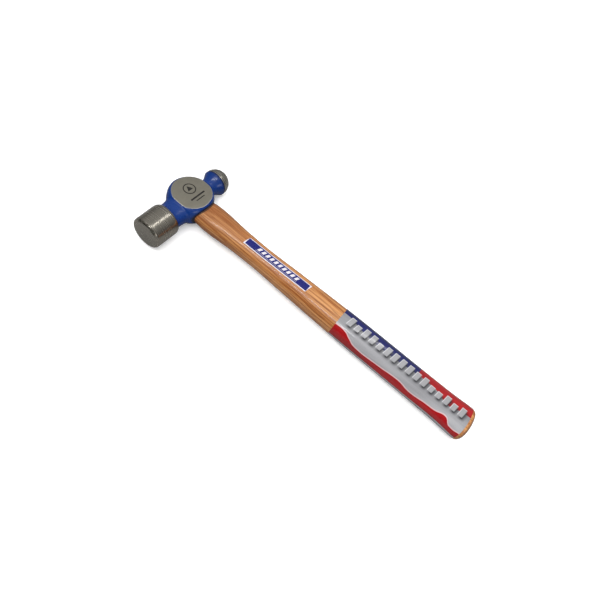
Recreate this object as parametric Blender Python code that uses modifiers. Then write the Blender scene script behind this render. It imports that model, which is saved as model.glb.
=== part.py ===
"""Ball peen hammer, lying on its side: forged head, hickory handle, wedges, label and printed grip sleeve.

Every piece is built round the centre of the eye, with +X along the handle towards the butt,
+Y towards the ball and +Z up, and an empty then carries the whole hammer to its place on the ground.
"""

import math

import bmesh
import bpy

MM = 0.001

# Head: the poll is turned, the cheek is a forged disc with two ground flats, and the ball is turned.
FACE_Y = -64.9 * MM
FACE_FLAT_RADIUS = 6.0 * MM
FACE_RADIUS = 14.2 * MM
FACE_CROWN = 0.4 * MM
FACE_BEVEL = 3.1 * MM
POLL_FRONT_RADIUS = 17.2 * MM
POLL_RADIUS = 17.4 * MM
POLL_BACK_Y = -33.6 * MM
POLL_SHOULDER_LENGTH = 5.8 * MM
POLL_SHOULDER_DEPTH = 3.0 * MM
CHEEK_RADIUS = 24.9 * MM
CHEEK_CENTRE_X = -0.9 * MM
CHEEK_FLAT_Z = 12.5 * MM
BALL_CENTRE_Y = 39.4 * MM
BALL_RADIUS = 14.5 * MM
BALL_NECK_RADIUS = 9.4 * MM
BALL_RIM_Y = 37.0 * MM
BALL_RIM_RADIUS = 14.6 * MM
BALL_FLARE_POWER = 1.6
BALL_NECK_END_Y = 26.0 * MM
HEAD_SIDES = 48
BLEND_POWER = 8

# Neck and cheek stations along Y: neck half-width, half-thickness before grinding, squareness.
NECK_STATIONS = (
    (-33.6, 14.3, 13.8, 2.0),
    (-31.0, 14.3, 12.3, 2.1),
    (-26.0, 14.6, 11.2, 2.3),
    (-21.2, 15.0, 11.1, 2.6),
    (-19.7, 15.0, 11.5, 2.7),
    (-18.0, 15.0, 13.0, 2.8),
    (-16.2, 15.0, 13.4, 3.0),
    (-14.0, 14.5, 13.9, 3.2),
    (-8.5, 14.0, 14.6, 3.6),
    (0.0, 14.0, 14.9, 4.0),
    (10.0, 12.0, 14.9, 4.0),
    (17.5, 9.9, 14.0, 4.0),
    (21.5, 9.6, 12.9, 3.6),
    (23.0, 9.4, 11.7, 3.2),
    (24.4, 9.4, 10.2, 2.4),
    (26.0, 9.4, 9.4, 2.0),
)

# Eye and handle stations along X: half-height along Y, half-thickness along Z.
TONGUE_STATIONS = (
    (-34.0, 14.9, 10.4),
    (-22.0, 14.3, 9.6),
    (0.0, 13.0, 8.0),
    (11.0, 13.5, 8.4),
    (18.0, 15.0, 9.1),
    (24.0, 16.0, 9.9),
)
GRIP_STATIONS = (
    (31.0, 16.4, 10.5),
    (41.0, 16.0, 11.2),
    (55.0, 14.7, 11.6),
    (69.0, 13.6, 11.4),
    (97.0, 12.9, 11.5),
    (136.0, 14.0, 12.6),
    (179.0, 15.2, 13.9),
    (227.0, 16.1, 14.8),
    (290.0, 16.5, 14.3),
    (335.0, 17.2, 14.0),
    (362.9, 18.6, 14.3),
)
OVAL_POWER = 2.2
HANDLE_SIDES = 40
HANDLE_TOP_X = -30.0 * MM
BUTT_ROUND_X = 362.9 * MM
BUTT_X = 367.9 * MM
BUTT_INSET = 6.0 * MM
GROUND_TOP_RADIUS = 23.6 * MM
FIT_GAP = 0.3 * MM

# Wedges, driven in from the top of the head, which is the -X end of the eye.
WEDGE_TOP_X = -30.0 * MM
KERF_BOTTOM_X = 6.0 * MM
WOOD_WEDGE_TIP_X = 3.0 * MM
WOOD_WEDGE_TOP_HALF = 2.6 * MM
WOOD_WEDGE_TIP_HALF = 0.6 * MM
WOOD_WEDGE_HALF_WIDTH = 12.8 * MM
STEEL_WEDGE_TIP_X = -8.0 * MM
STEEL_WEDGE_TOP_HALF = 1.4 * MM
STEEL_WEDGE_TIP_HALF = 0.4 * MM
STEEL_WEDGE_HALF_WIDTH = 6.4 * MM
STEEL_WEDGE_Y = 6.2 * MM

# Film pieces on the handle.
FILM_GAP = 0.2 * MM
FILM_WALL = 0.3 * MM
SLEEVE_START_X = 202.0 * MM
SLEEVE_END_X = 362.0 * MM
LABEL_START_X = 77.0 * MM
LABEL_END_X = 159.0 * MM
LABEL_CENTRE_Y = -0.5 * MM
LABEL_HALF_WIDTH = 5.0 * MM
LABEL_SLANT = 0.2

# The hammer's box runs from the ground top to the butt, and from the struck face to the tip of the ball.
CENTRE_X = (BUTT_X + CHEEK_CENTRE_X - GROUND_TOP_RADIUS) / 2
CENTRE_Y = (FACE_Y - FACE_CROWN + BALL_CENTRE_Y + BALL_RADIUS) / 2


def clear_scene():
    for obj in list(bpy.data.objects):
        bpy.data.objects.remove(obj, do_unlink=True)


def make_collection(name):
    collection = bpy.data.collections.new(name)
    bpy.context.scene.collection.children.link(collection)
    return collection


def make_material(name, colour, roughness, metallic):
    material = bpy.data.materials.new(name)
    material.use_nodes = True
    shader = material.node_tree.nodes["Principled BSDF"]
    shader.inputs["Base Color"].default_value = (*colour, 1.0)
    shader.inputs["Roughness"].default_value = roughness
    shader.inputs["Metallic"].default_value = metallic
    return material


def make_object(name, bm, collection, material=None):
    bmesh.ops.recalc_face_normals(bm, faces=bm.faces)
    mesh = bpy.data.meshes.new(name)
    bm.to_mesh(mesh)
    bm.free()
    obj = bpy.data.objects.new(name, mesh)
    collection.objects.link(obj)
    if material:
        mesh.materials.append(material)
    return obj


def make_cutter(name, bm, collection):
    cutter = make_object(name, bm, collection)
    cutter.hide_render = True
    cutter.display_type = "WIRE"
    return cutter


def use_boolean(obj, cutter, operation="DIFFERENCE"):
    modifier = obj.modifiers.new(cutter.name, "BOOLEAN")
    modifier.operation = operation
    modifier.solver = "EXACT"
    modifier.object = cutter


def shade_round(obj, crease_degrees=32):
    bpy.ops.object.select_all(action="DESELECT")
    obj.select_set(True)
    bpy.context.view_layer.objects.active = obj
    bpy.ops.object.shade_smooth()
    obj.data.set_sharp_from_angle(angle=math.radians(crease_degrees))


def smooth_between(stations, place):
    """The stations' values at this place, on smooth curves that never overshoot them."""
    rows = [[value * MM if i < 3 else value for i, value in enumerate(row)] for row in stations]
    place = min(max(place, rows[0][0]), rows[-1][0])
    last = max(i for i, row in enumerate(rows[:-1]) if row[0] <= place)
    before, after = rows[last], rows[last + 1]
    step = after[0] - before[0]
    share = (place - before[0]) / step
    values = []
    for column in range(1, len(before)):
        start = slope_at(rows, last, column) * step
        end = slope_at(rows, last + 1, column) * step
        change = after[column] - before[column]
        bend = share * share * (3 * change - 2 * start - end) + share**3 * (start + end - 2 * change)
        values.append(before[column] + share * start + bend)
    return values


def slope_at(rows, i, column):
    if i in (0, len(rows) - 1):
        return 0.0
    left = (rows[i][column] - rows[i - 1][column]) / (rows[i][0] - rows[i - 1][0])
    right = (rows[i + 1][column] - rows[i][column]) / (rows[i + 1][0] - rows[i][0])
    return 2 * left * right / (left + right) if left * right > 0 else 0.0


def oval(half_u, half_v, power, sides):
    """Points of a superellipse, evenly turned, starting on the +U axis."""
    points = []
    for i in range(sides):
        turn = 2 * math.pi * i / sides
        cosine, sine = math.cos(turn), math.sin(turn)
        reach = (abs(cosine) ** power + abs(sine) ** power) ** (-1 / power)
        points.append((half_u * reach * cosine, half_v * reach * sine))
    return points


def loft(rings, closed_ends=True):
    """A skin over rings of equally many points."""
    bm = bmesh.new()
    loops = [[bm.verts.new(point) for point in ring] for ring in rings]
    for first, second in zip(loops, loops[1:]):
        for i in range(len(first)):
            j = (i + 1) % len(first)
            bm.faces.new((first[i], first[j], second[j], second[i]))
    if closed_ends:
        bm.faces.new(loops[0])
        bm.faces.new(loops[-1])
    return bm


def steps(start, end, count):
    return [start + (end - start) * i / count for i in range(count + 1)]


def head_ring(y, half_x, half_z, power):
    return [(x, y, z) for x, z in oval(half_x, half_z, power, HEAD_SIDES)]


def poll_rings():
    """The crowned face, its bevelled rim, the barrel and its rounded back shoulder."""
    rings = []
    for radius in steps(FACE_FLAT_RADIUS, FACE_RADIUS, 3):
        rise = (radius**2 - FACE_FLAT_RADIUS**2) / (FACE_RADIUS**2 - FACE_FLAT_RADIUS**2)
        rings.append((FACE_Y - FACE_CROWN * (1 - rise), radius))
    bevel_steps = 4
    for i in range(1, bevel_steps + 1):
        turn = math.radians(90 * i / bevel_steps)
        radius = FACE_RADIUS + (POLL_FRONT_RADIUS - FACE_RADIUS) * math.sin(turn)
        rings.append((FACE_Y + FACE_BEVEL * (1 - math.cos(turn)), radius))
    shoulder_start = POLL_BACK_Y - POLL_SHOULDER_LENGTH
    shoulder_steps = 6
    for i in range(shoulder_steps + 1):
        turn = math.radians(90 * i / shoulder_steps)
        radius = POLL_RADIUS - POLL_SHOULDER_DEPTH * (1 - math.cos(turn))
        rings.append((shoulder_start + POLL_SHOULDER_LENGTH * math.sin(turn), radius))
    return [head_ring(y, radius, radius, 2) for y, radius in rings]


def cheek_rings():
    """The waisted neck, the forged disc of the cheek and the slim neck of the ball."""
    rings = []
    neck_end = POLL_BACK_Y + 0.4 * MM
    for y in steps(neck_end, BALL_NECK_END_Y, 28):
        neck_x, half_z, power = smooth_between(NECK_STATIONS, y)
        disc_x = math.sqrt(max(CHEEK_RADIUS**2 - y**2, 0))
        half_x = (neck_x**BLEND_POWER + disc_x**BLEND_POWER) ** (1 / BLEND_POWER)
        shift = CHEEK_CENTRE_X * (half_x - neck_x) / (CHEEK_RADIUS - neck_x)
        rings.append([(x + shift, y, z) for x, y, z in head_ring(y, half_x, half_z, power)])
    return rings


def ball_rings():
    """The flared back of the ball, its rounded rim and its dome."""
    rings = []
    flare_steps = 5
    for i in range(1, flare_steps + 1):
        share = i / flare_steps
        radius = BALL_NECK_RADIUS + (BALL_RIM_RADIUS - BALL_NECK_RADIUS) * share**BALL_FLARE_POWER
        rings.append((BALL_NECK_END_Y + (BALL_RIM_Y - BALL_NECK_END_Y) * share, radius))
    rim_steps = 4
    for i in range(1, rim_steps + 1):
        turn = math.radians(90 * i / rim_steps)
        radius = BALL_RIM_RADIUS + (BALL_RADIUS - BALL_RIM_RADIUS) * math.sin(turn)
        rings.append((BALL_RIM_Y + (BALL_CENTRE_Y - BALL_RIM_Y) * (1 - math.cos(turn)), radius))
    dome_steps = 10
    for i in range(1, dome_steps):
        turn = math.radians(90 * i / dome_steps)
        rings.append((BALL_CENTRE_Y + BALL_RADIUS * math.sin(turn), BALL_RADIUS * math.cos(turn)))
    return [head_ring(y, radius, radius, 2) for y, radius in rings]


def close_dome(bm, tip):
    """Replaces the last ring's cap with a fan to the tip of the dome."""
    cap = max(bm.faces, key=lambda face: face.calc_center_median().y)
    bmesh.ops.poke(bm, faces=[cap])
    point = max(bm.verts, key=lambda vert: vert.co.y)
    point.co.y = tip


def eye_rings(gap):
    rings = []
    for x in steps(HANDLE_TOP_X, 30 * MM, 12):
        half_y, half_z = smooth_between(TONGUE_STATIONS, x)
        rings.append([(x, y, z) for y, z in oval(half_y + gap, half_z + gap, OVAL_POWER, HANDLE_SIDES)])
    return rings


def make_flat_cutter(name, side, cutters):
    bm = bmesh.new()
    depth = 10 * MM
    bmesh.ops.create_cube(bm, size=1)
    bmesh.ops.scale(bm, vec=(2.4 * CHEEK_RADIUS, 2.2 * CHEEK_RADIUS, depth), verts=bm.verts)
    middle = side * (CHEEK_FLAT_Z + depth / 2)
    bmesh.ops.translate(bm, vec=(0, 5.2 * MM, middle), verts=bm.verts)
    return make_cutter(name, bm, cutters)


def make_head(nodes, cutters):
    steel = make_material("head_steel", (0.16, 0.15, 0.13), 0.32, 1.0)
    bm = loft(poll_rings() + cheek_rings() + ball_rings())
    close_dome(bm, BALL_CENTRE_Y + BALL_RADIUS)
    head = make_object("hammer_head", bm, nodes, steel)
    use_boolean(head, make_flat_cutter("upper_flat_cutter", 1, cutters))
    use_boolean(head, make_flat_cutter("lower_flat_cutter", -1, cutters))
    use_boolean(head, make_cutter("eye_cutter", loft(eye_rings(FIT_GAP)), cutters))
    shade_round(head)
    return head


def handle_size(x):
    """Half-height and half-thickness of the wood at this distance from the eye's centre."""
    return smooth_between(TONGUE_STATIONS + GRIP_STATIONS, x)


def handle_ring(x, extra=0.0, sides=HANDLE_SIDES):
    half_y, half_z = handle_size(x)
    return [(x, y, z) for y, z in oval(half_y + extra, half_z + extra, OVAL_POWER, sides)]


def butt_rings():
    rings = []
    round_steps = 5
    half_y, half_z = handle_size(BUTT_ROUND_X)
    for i in range(1, round_steps + 1):
        turn = math.radians(90 * i / round_steps)
        inset = BUTT_INSET * (1 - math.cos(turn))
        x = BUTT_ROUND_X + (BUTT_X - BUTT_ROUND_X) * math.sin(turn)
        rings.append([(x, y, z) for y, z in oval(half_y - inset, half_z - inset, OVAL_POWER, HANDLE_SIDES)])
    return rings


def taper_block(top_x, tip_x, top_half, tip_half, half_width, across_z):
    """A wedge tapering from top_x to tip_x. It is thin along Y where across_z is true, and else along Z."""
    rings = []
    for x, half in ((top_x, top_half), (tip_x, tip_half)):
        u, v = (half, half_width) if across_z else (half_width, half)
        rings.append([(x, -u, -v), (x, u, -v), (x, u, v), (x, -u, v)])
    return loft(rings)


def make_ground_top_cutter(cutters):
    """The space inside the round of the head, which the wedged end of the handle is ground flush to."""
    bm = bmesh.new()
    arc = [math.radians(90 + 180 * i / 32) for i in range(33)]
    outline = [
        (CHEEK_CENTRE_X + GROUND_TOP_RADIUS * math.cos(a), GROUND_TOP_RADIUS * math.sin(a)) for a in arc
    ]
    far_x = BUTT_X + 20 * MM
    outline += [(far_x, -GROUND_TOP_RADIUS), (far_x, GROUND_TOP_RADIUS)]
    height = 25 * MM
    face = bm.faces.new([bm.verts.new((x, y, -height)) for x, y in outline])
    pulled = bmesh.ops.extrude_face_region(bm, geom=[face])
    top = [item for item in pulled["geom"] if isinstance(item, bmesh.types.BMVert)]
    bmesh.ops.translate(bm, vec=(0, 0, 2 * height), verts=top)
    return make_cutter("ground_top", bm, cutters)


def steel_wedge_shape(centre_y, gap):
    bm = taper_block(
        WEDGE_TOP_X,
        STEEL_WEDGE_TIP_X + gap,
        STEEL_WEDGE_TOP_HALF + gap,
        STEEL_WEDGE_TIP_HALF + gap,
        STEEL_WEDGE_HALF_WIDTH + gap,
        True,
    )
    bmesh.ops.translate(bm, vec=(0, centre_y, 0), verts=bm.verts)
    return bm


def make_kerf_cutter(cutters):
    full_width = 25 * MM
    bm = taper_block(
        WEDGE_TOP_X - 5 * MM,
        KERF_BOTTOM_X,
        WOOD_WEDGE_TOP_HALF + 2 * FIT_GAP,
        WOOD_WEDGE_TIP_HALF + FIT_GAP,
        full_width,
        False,
    )
    return make_cutter("kerf_cutter", bm, cutters)


def make_handle(nodes, cutters, ground_top, slots):
    wood = make_material("hickory", (0.50, 0.24, 0.09), 0.35, 0.0)
    places = steps(HANDLE_TOP_X, 36 * MM, 12) + steps(42 * MM, BUTT_ROUND_X, 24)
    handle = make_object("handle", loft([handle_ring(x) for x in places] + butt_rings()), nodes, wood)
    use_boolean(handle, ground_top, "INTERSECT")
    use_boolean(handle, make_kerf_cutter(cutters))
    for slot in slots:
        use_boolean(handle, slot)
    shade_round(handle)


def make_wooden_wedge(nodes, ground_top, slots):
    wood = make_material("wedge_wood", (0.62, 0.42, 0.22), 0.55, 0.0)
    bm = taper_block(
        WEDGE_TOP_X,
        WOOD_WEDGE_TIP_X,
        WOOD_WEDGE_TOP_HALF,
        WOOD_WEDGE_TIP_HALF,
        WOOD_WEDGE_HALF_WIDTH,
        False,
    )
    wedge = make_object("wooden_wedge", bm, nodes, wood)
    use_boolean(wedge, ground_top, "INTERSECT")
    for slot in slots:
        use_boolean(wedge, slot)


def make_steel_wedge(name, centre_y, nodes, ground_top):
    steel = make_material(name + "_steel", (0.30, 0.29, 0.28), 0.4, 1.0)
    wedge = make_object(name, steel_wedge_shape(centre_y, 0), nodes, steel)
    use_boolean(wedge, ground_top, "INTERSECT")


def add_film_wall(obj):
    wall = obj.modifiers.new("film_wall", "SOLIDIFY")
    wall.thickness = FILM_WALL
    wall.offset = 1
    wall.use_even_offset = True


def make_sleeve(nodes):
    film = make_material("printed_film", (0.35, 0.03, 0.04), 0.25, 0.0)
    places = steps(SLEEVE_START_X, SLEEVE_END_X, 8)
    bm = loft([handle_ring(x, FILM_GAP) for x in places], closed_ends=False)
    sleeve = make_object("grip_sleeve", bm, nodes, film)
    first = sleeve.data.polygons[0]
    if first.normal.y * first.center.y + first.normal.z * first.center.z < 0:
        sleeve.data.flip_normals()
    add_film_wall(sleeve)
    shade_round(sleeve)


def make_label(nodes):
    """A patch with slanted ends that follows the top of the handle, a little above the wood."""
    paper = make_material("label_print", (0.03, 0.035, 0.19), 0.3, 0.0)
    long_steps, wide_steps = 12, 6
    bm = bmesh.new()
    bmesh.ops.create_grid(bm, x_segments=long_steps, y_segments=wide_steps, size=0.5)
    for vert in bm.verts:
        aside = 2 * vert.co.y * LABEL_HALF_WIDTH
        x = LABEL_START_X + (vert.co.x + 0.5) * (LABEL_END_X - LABEL_START_X) + LABEL_SLANT * aside
        y = LABEL_CENTRE_Y + aside
        half_y, half_z = handle_size(x)
        height = half_z * (1 - (abs(y) / half_y) ** OVAL_POWER) ** (1 / OVAL_POWER)
        vert.co = (x, y, height + FILM_GAP)
    label = make_object("handle_label", bm, nodes, paper)
    if label.data.polygons[0].normal.z < 0:
        label.data.flip_normals()
    add_film_wall(label)
    shade_round(label)


def place_on_ground(nodes, cutters):
    """Carries every piece so that the poll's lowest line is on the ground and the box is centred."""
    centre = bpy.data.objects.new("eye_centre", None)
    nodes.objects.link(centre)
    centre.location = (-CENTRE_X, -CENTRE_Y, POLL_RADIUS)
    for obj in list(nodes.objects) + list(cutters.objects):
        if obj != centre:
            obj.parent = centre


def main():
    clear_scene()
    nodes = make_collection("ball_peen_hammer")
    cutters = make_collection("cutters")
    ground_top = make_ground_top_cutter(cutters)
    wedge_places = {"steel_wedge_face_side": -STEEL_WEDGE_Y, "steel_wedge_peen_side": STEEL_WEDGE_Y}
    slots = []
    for name, y in wedge_places.items():
        slots.append(make_cutter(name + "_slot", steel_wedge_shape(y, FIT_GAP), cutters))
        make_steel_wedge(name, y, nodes, ground_top)
    make_head(nodes, cutters)
    make_handle(nodes, cutters, ground_top, slots)
    make_wooden_wedge(nodes, ground_top, slots)
    make_label(nodes)
    make_sleeve(nodes)
    place_on_ground(nodes, cutters)


main()
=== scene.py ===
"""Looks of the ball peen hammer: forged and painted head, wedged hickory handle, label and printed sleeve.

Lengths are in metres, and MM turns millimetres into them. Shapes are worked out round the centre of the
eye, with +X along the handle towards the butt and +Y towards the ball, and are then carried to the frame.
"""

import math

import bmesh
import bpy
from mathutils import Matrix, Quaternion, Vector


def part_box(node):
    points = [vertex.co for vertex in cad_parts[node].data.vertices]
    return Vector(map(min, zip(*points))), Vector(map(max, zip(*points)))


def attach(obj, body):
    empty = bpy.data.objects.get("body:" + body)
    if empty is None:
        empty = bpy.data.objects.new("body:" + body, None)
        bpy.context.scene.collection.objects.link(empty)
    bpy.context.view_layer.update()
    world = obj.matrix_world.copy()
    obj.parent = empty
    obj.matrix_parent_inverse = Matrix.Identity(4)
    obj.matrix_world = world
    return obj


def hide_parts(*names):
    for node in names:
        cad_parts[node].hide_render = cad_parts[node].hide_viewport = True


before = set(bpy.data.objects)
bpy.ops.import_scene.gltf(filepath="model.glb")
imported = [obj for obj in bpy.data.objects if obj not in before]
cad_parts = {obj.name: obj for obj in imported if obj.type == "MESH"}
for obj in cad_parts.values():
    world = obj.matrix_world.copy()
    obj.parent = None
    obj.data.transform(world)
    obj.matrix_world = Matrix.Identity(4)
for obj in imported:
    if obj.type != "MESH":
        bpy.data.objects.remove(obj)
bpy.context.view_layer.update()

MM = 0.001

# Head, as the frame has it, but for the ball's rim, which is drawn in a little to sit inside the ball.
FACE_Y = -64.9 * MM
FACE_FLAT_RADIUS = 6.0 * MM
FACE_RADIUS = 14.2 * MM
FACE_CROWN = 0.4 * MM
FACE_BEVEL = 3.1 * MM
POLL_FRONT_RADIUS = 17.2 * MM
POLL_RADIUS = 17.4 * MM
POLL_BACK_Y = -33.6 * MM
POLL_SHOULDER_LENGTH = 5.8 * MM
POLL_SHOULDER_DEPTH = 3.0 * MM
CHEEK_RADIUS = 24.9 * MM
CHEEK_CENTRE_X = -0.9 * MM
CHEEK_FLAT_Z = 12.5 * MM
CHEEK_FLAT_START_Y = -21.4 * MM
CHEEK_FLAT_END_Y = 31.8 * MM
BALL_CENTRE_Y = 39.4 * MM
BALL_RADIUS = 14.5 * MM
BALL_NECK_RADIUS = 9.4 * MM
BALL_RIM_Y = 36.9 * MM
BALL_RIM_RADIUS = 14.35 * MM
BALL_FLARE_POWER = 1.6
BALL_NECK_END_Y = 26.0 * MM

# From barrel to ball, in millimetres: (y, half width along X, half thickness along Z, oval's power).
# The cheek's disc stands out of that width, and the blend's power sets how tightly the two meet.
BLEND_POWER = 8
NECK_STATIONS = (
    (-33.6, 14.3, 13.8, 2.0),
    (-31.0, 14.3, 12.3, 2.1),
    (-26.0, 14.6, 11.2, 2.3),
    (-21.2, 15.0, 11.1, 2.6),
    (-19.7, 15.0, 11.5, 2.7),
    (-18.0, 15.0, 13.0, 2.8),
    (-16.2, 15.0, 13.4, 3.0),
    (-14.0, 14.5, 13.9, 3.2),
    (-8.5, 14.0, 14.6, 3.6),
    (0.0, 14.0, 14.9, 4.0),
    (10.0, 12.0, 14.9, 4.0),
    (17.5, 9.9, 14.0, 4.0),
    (21.5, 9.6, 12.9, 3.6),
    (23.0, 9.4, 11.7, 3.2),
    (24.4, 9.4, 10.2, 2.4),
    (26.0, 9.4, 9.4, 2.0),
)

# Handle, as the frame has it, in millimetres: (x, half height along Y, half thickness along Z).
HANDLE_STATIONS = (
    (-34.0, 14.9, 10.4),
    (-22.0, 14.3, 9.6),
    (0.0, 13.0, 8.0),
    (11.0, 13.5, 8.4),
    (18.0, 15.0, 9.1),
    (24.0, 16.0, 9.9),
    (31.0, 16.4, 10.5),
    (41.0, 16.0, 11.2),
    (55.0, 14.7, 11.6),
    (69.0, 13.6, 11.4),
    (97.0, 12.9, 11.5),
    (136.0, 14.0, 12.6),
    (179.0, 15.2, 13.9),
    (227.0, 16.1, 14.8),
    (290.0, 16.5, 14.3),
    (335.0, 17.2, 14.0),
    (362.9, 18.6, 14.3),
)
OVAL_POWER = 2.2
GROUND_TOP_RADIUS = 23.6 * MM
BUTT_ROUND_X = 362.9 * MM
BUTT_X = 367.9 * MM
BUTT_INSET = 6.0 * MM
WEDGE_TOP_X = -30.0 * MM
KERF_BOTTOM_X = 6.0 * MM
STEEL_WEDGE_TIP_X = -8.0 * MM
WOOD_WEDGE_TOP_HALF = 2.6 * MM
WOOD_WEDGE_TIP_HALF = 0.6 * MM
STEEL_WEDGE_TOP_HALF = 1.4 * MM
STEEL_WEDGE_TIP_HALF = 0.4 * MM
STEEL_WEDGE_HALF_WIDTH = 6.4 * MM
STEEL_WEDGE_Y = 6.2 * MM
SLEEVE_START_X = 202.0 * MM
SLEEVE_END_X = 362.0 * MM
LABEL_START_X = 77.0 * MM
LABEL_END_X = 159.0 * MM
LABEL_CENTRE_Y = -0.5 * MM
LABEL_HALF_WIDTH = 5.0 * MM
LABEL_SLANT = 0.2

# How finely the new pieces are built, and the gaps, welds and roundings that the frame leaves out.
HEAD_SIDES = 128
HANDLE_SIDES = 96
CREASE = math.radians(35)
INNERMOST_RADIUS = 0.4 * MM
INNERMOST_SCALE = 0.06
FIT = 0.08 * MM
FLAT_SNAP = 0.06 * MM
FLAT_WELD = 0.2 * MM
EDGE_ROUND = 0.6 * MM
EYE_CUT_REACH = 30.0 * MM
EYE_RIM_REACH = 15.0 * MM
EYE_RIM_TURN = math.radians(40)
EYE_WELD = 0.15 * MM
EYE_ROUND = 0.5 * MM
SURFACE_SLACK = 0.02 * MM
TONGUE_RIM_X = -20.0 * MM
TONGUE_STRAIGHT_X = -6.0 * MM
SHOULDER_END_X = 60.0 * MM
KERF_GAP = 0.12 * MM
KERF_REACH = 25.0 * MM

# The head's material slots, in the order in which make_head fills them.
PAINT_SLOT, POLL_SLOT, CHEEK_SLOT, BALL_SLOT, MARK_SLOT = range(5)

# Where the blue paint ends, in degrees round the barrel's back and round the ball's rim, and how unevenly.
POLL_PAINT_TURN = 50
POLL_PAINT_WAVE = 1.8
BALL_PAINT_TURN = 78
BALL_PAINT_WAVE = 1.2

# The mark stamped in the upper flat. Bars are (x of the middle, half length, half width).
MARK_DEPTH = 0.3 * MM
MARK_Y = 2.8 * MM
MARK_FIELD_X = 14.0 * MM
MARK_FIELD_Y = 11.0 * MM
MARK_RING_X = -5.5 * MM
MARK_RING_OUTER = 6.9 * MM
MARK_RING_INNER = 5.8 * MM
MARK_RING_SIDES = 72
MARK_TRIANGLE_REACH = 4.0 * MM
MARK_BARS = ((6.4, 10.0, 0.95), (10.2, 6.0, 0.55))

# Films on the wood.
FILM_LIFT = 0.03 * MM
LABEL_THICKNESS = 0.12 * MM
SLEEVE_THICKNESS = 0.2 * MM

# Printed label, in millimetres.
PRINT_EDGE = 0.1
LABEL_BORDER = 0.85
LABEL_BARS_START = 92.0
LABEL_BAR_COUNT = 10
LABEL_BAR_PITCH = 5.4
LABEL_BAR_WIDTH = 3.2
LABEL_BAR_SLANT = -0.45

# Printed sleeve: borders as (mm from the eye, share of half a turn round from the top).
RED_TOP = (
    (202, -0.235), (213, -0.235), (222, -0.305), (231, -0.37), (262, -0.355), (285, -0.325),
    (300, -0.365), (318, -0.335), (330, -0.32), (341, -0.275), (350, -0.375), (362, -0.36),
)
SILVER_TOP = (
    (202, 0.085), (212, 0.075), (224, 0.0), (245, -0.04), (268, -0.03), (290, 0.02),
    (305, 0.045), (322, 0.025), (333, -0.07), (342, -0.075), (351, 0.005), (362, 0.02),
)
RED_BOTTOM = ((202, -0.545), (250, -0.535), (300, -0.525), (330, -0.515), (362, -0.515))
NAVY_BACK = ((202, 0.47), (235, 0.44), (270, 0.49), (310, 0.45), (340, 0.49), (362, 0.46))
NAVY_END_X = 295.5
UNDERSIDE_RED = 0.80
BORDER_EDGE = 0.006

# The row of bars on the sleeve: lengths in millimetres, and places round the grip as above.
BARS_START = 209.0
BARS_LENGTH = 148.0
BAR_PITCH = 9.25
BAR_SHARE = 0.60
BAR_SLANT = -9.0
BAR_BOTTOM = -0.105
BAR_TOP = 0.055
BAR_TALLER = 0.07

# Camera: turned and raised about the aim, then rolled. The aim is measured from the eye.
CAMERA_TURN = math.radians(9.672)
CAMERA_RISE = math.radians(57.954)
CAMERA_ROLL = math.radians(31.16)
CAMERA_DISTANCE = 486.9 * MM
CAMERA_AIM = Vector((164.4, -9.75, 0.0)) * MM
CAMERA_LENS = 28.12
CAMERA_SENSOR = 36.0

# Studio: the floor's slopes make it touch the points that the lying hammer rests on.
FLOOR_REACH = 3.0
FLOOR_Z = 1.35 * MM
FLOOR_RISE_X = 0.0039
FLOOR_RISE_Y = 0.0368
FLOOR_TONE = 0.90
FLOOR_TONE_MIRRORED = 0.24
FLOOR_TONE_BOUNCED = 0.50
FLOOR_LIFT = 0.25
FLOOR_WHITE_FROM = 0.4
FLOOR_WHITE_AT = 1.2
WORLD_BRIGHT_SIDE = (-0.12, 0.42, 0.90)
WORLD_DIM = 0.08
WORLD_BRIGHT = 0.46

HEAD_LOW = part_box("hammer_head")[0]
EYE = Vector((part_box("handle")[1].x - BUTT_X, HEAD_LOW.y - FACE_Y + FACE_CROWN, HEAD_LOW.z + POLL_RADIUS))


# ---------------------------------------------------------------- shapes


def slope_at(rows, i, column):
    if i in (0, len(rows) - 1):
        return 0.0
    left = (rows[i][column] - rows[i - 1][column]) / (rows[i][0] - rows[i - 1][0])
    right = (rows[i + 1][column] - rows[i][column]) / (rows[i + 1][0] - rows[i][0])
    return 2 * left * right / (left + right) if left * right > 0 else 0.0


def smooth_between(stations, place):
    """The stations' values at this place, on smooth curves that never overshoot them."""
    rows = [[value * MM if i < 3 else value for i, value in enumerate(row)] for row in stations]
    place = min(max(place, rows[0][0]), rows[-1][0])
    last = max(i for i, row in enumerate(rows[:-1]) if row[0] <= place)
    before, after = rows[last], rows[last + 1]
    step = after[0] - before[0]
    share = (place - before[0]) / step
    values = []
    for column in range(1, len(before)):
        start = slope_at(rows, last, column) * step
        end = slope_at(rows, last + 1, column) * step
        change = after[column] - before[column]
        bend = share * share * (3 * change - 2 * start - end) + share**3 * (start + end - 2 * change)
        values.append(before[column] + share * start + bend)
    return values


def steps(start, end, count):
    return [start + (end - start) * i / count for i in range(count + 1)]


def unique(items):
    """The items in their own order without repeats, so that every run takes them alike."""
    return list(dict.fromkeys(items))


def oval(half_u, half_v, power, sides):
    """Points of a superellipse, evenly turned, starting on the +U axis."""
    points = []
    for turn in steps(0, 2 * math.pi, sides)[:-1]:
        cosine, sine = math.cos(turn), math.sin(turn)
        reach = (abs(cosine) ** power + abs(sine) ** power) ** (-1 / power)
        points.append((half_u * reach * cosine, half_v * reach * sine))
    return points


def loft(rings):
    """A closed skin over rings of equally many points."""
    bm = bmesh.new()
    loops = [[bm.verts.new(point) for point in ring] for ring in rings]
    for first, second in zip(loops, loops[1:]):
        for i in range(len(first)):
            j = (i + 1) % len(first)
            bm.faces.new((first[i], first[j], second[j], second[i]))
    bm.faces.new(loops[0])
    bm.faces.new(loops[-1])
    bmesh.ops.recalc_face_normals(bm, faces=bm.faces)
    return bm


def add_object(name, data):
    obj = bpy.data.objects.new(name, data)
    bpy.context.scene.collection.objects.link(obj)
    return obj


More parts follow.
